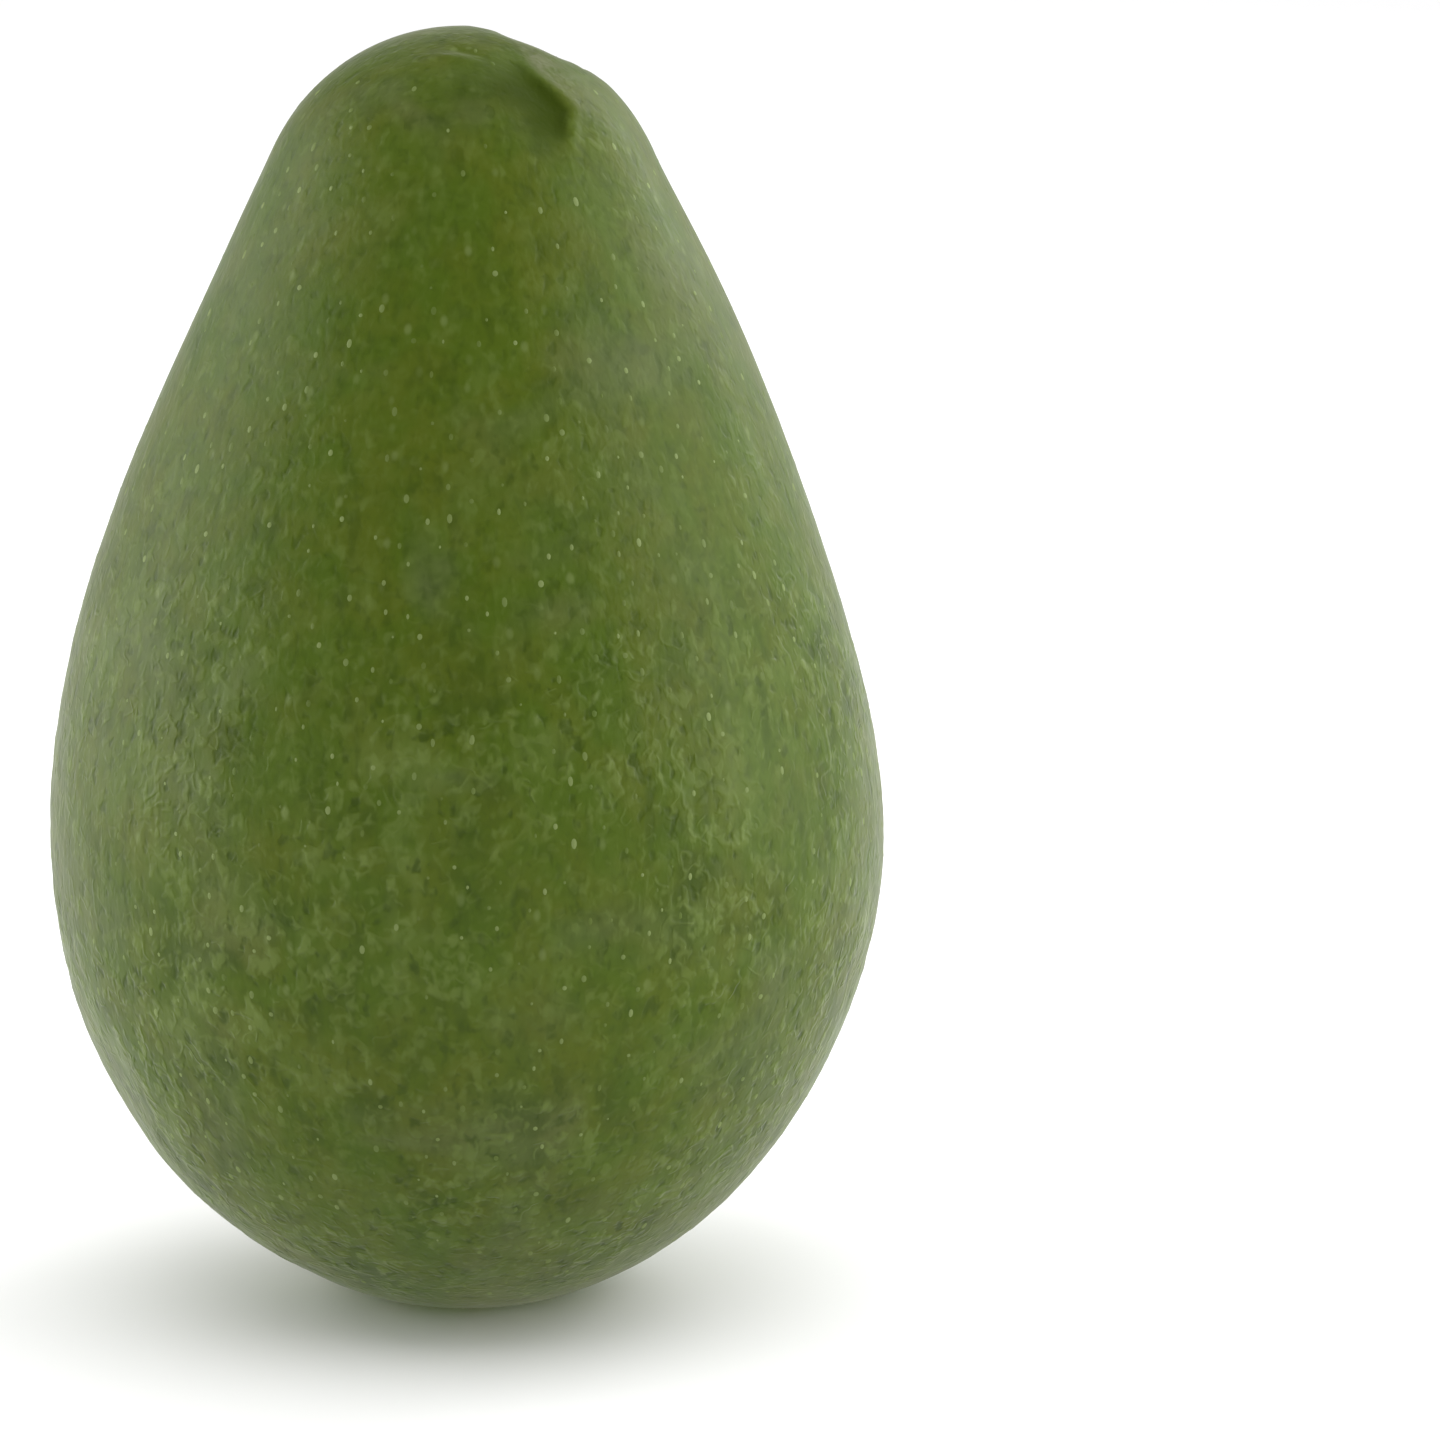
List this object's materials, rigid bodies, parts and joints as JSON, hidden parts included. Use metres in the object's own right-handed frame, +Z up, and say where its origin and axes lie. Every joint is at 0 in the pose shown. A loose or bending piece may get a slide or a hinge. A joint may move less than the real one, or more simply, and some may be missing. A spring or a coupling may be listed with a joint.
{
  "type": "avocado",
  "caption": "Whole pear-shaped green avocado standing on its blossom end, with a short woody stem stub in a dished socket on its crown.",
  "frame": {"origin": "centre of the small flat spot at the blossom end that the fruit rests on", "axes": "+Z up along the core towards the crown, -Y towards the side with the hollow beside the stem, +X towards the side that the stem leans to"},
  "size_m": [0.0788, 0.076, 0.12],
  "materials": {
    "skin": "waxy satin skin, olive to leaf green, with pale freckles and fine pebbling",
    "stem": "dry, rough, grey-brown"
  },
  "bodies": {
    "root": {"fruit": "skin", "stem_button": "stem"}
  },
  "joints": []
}
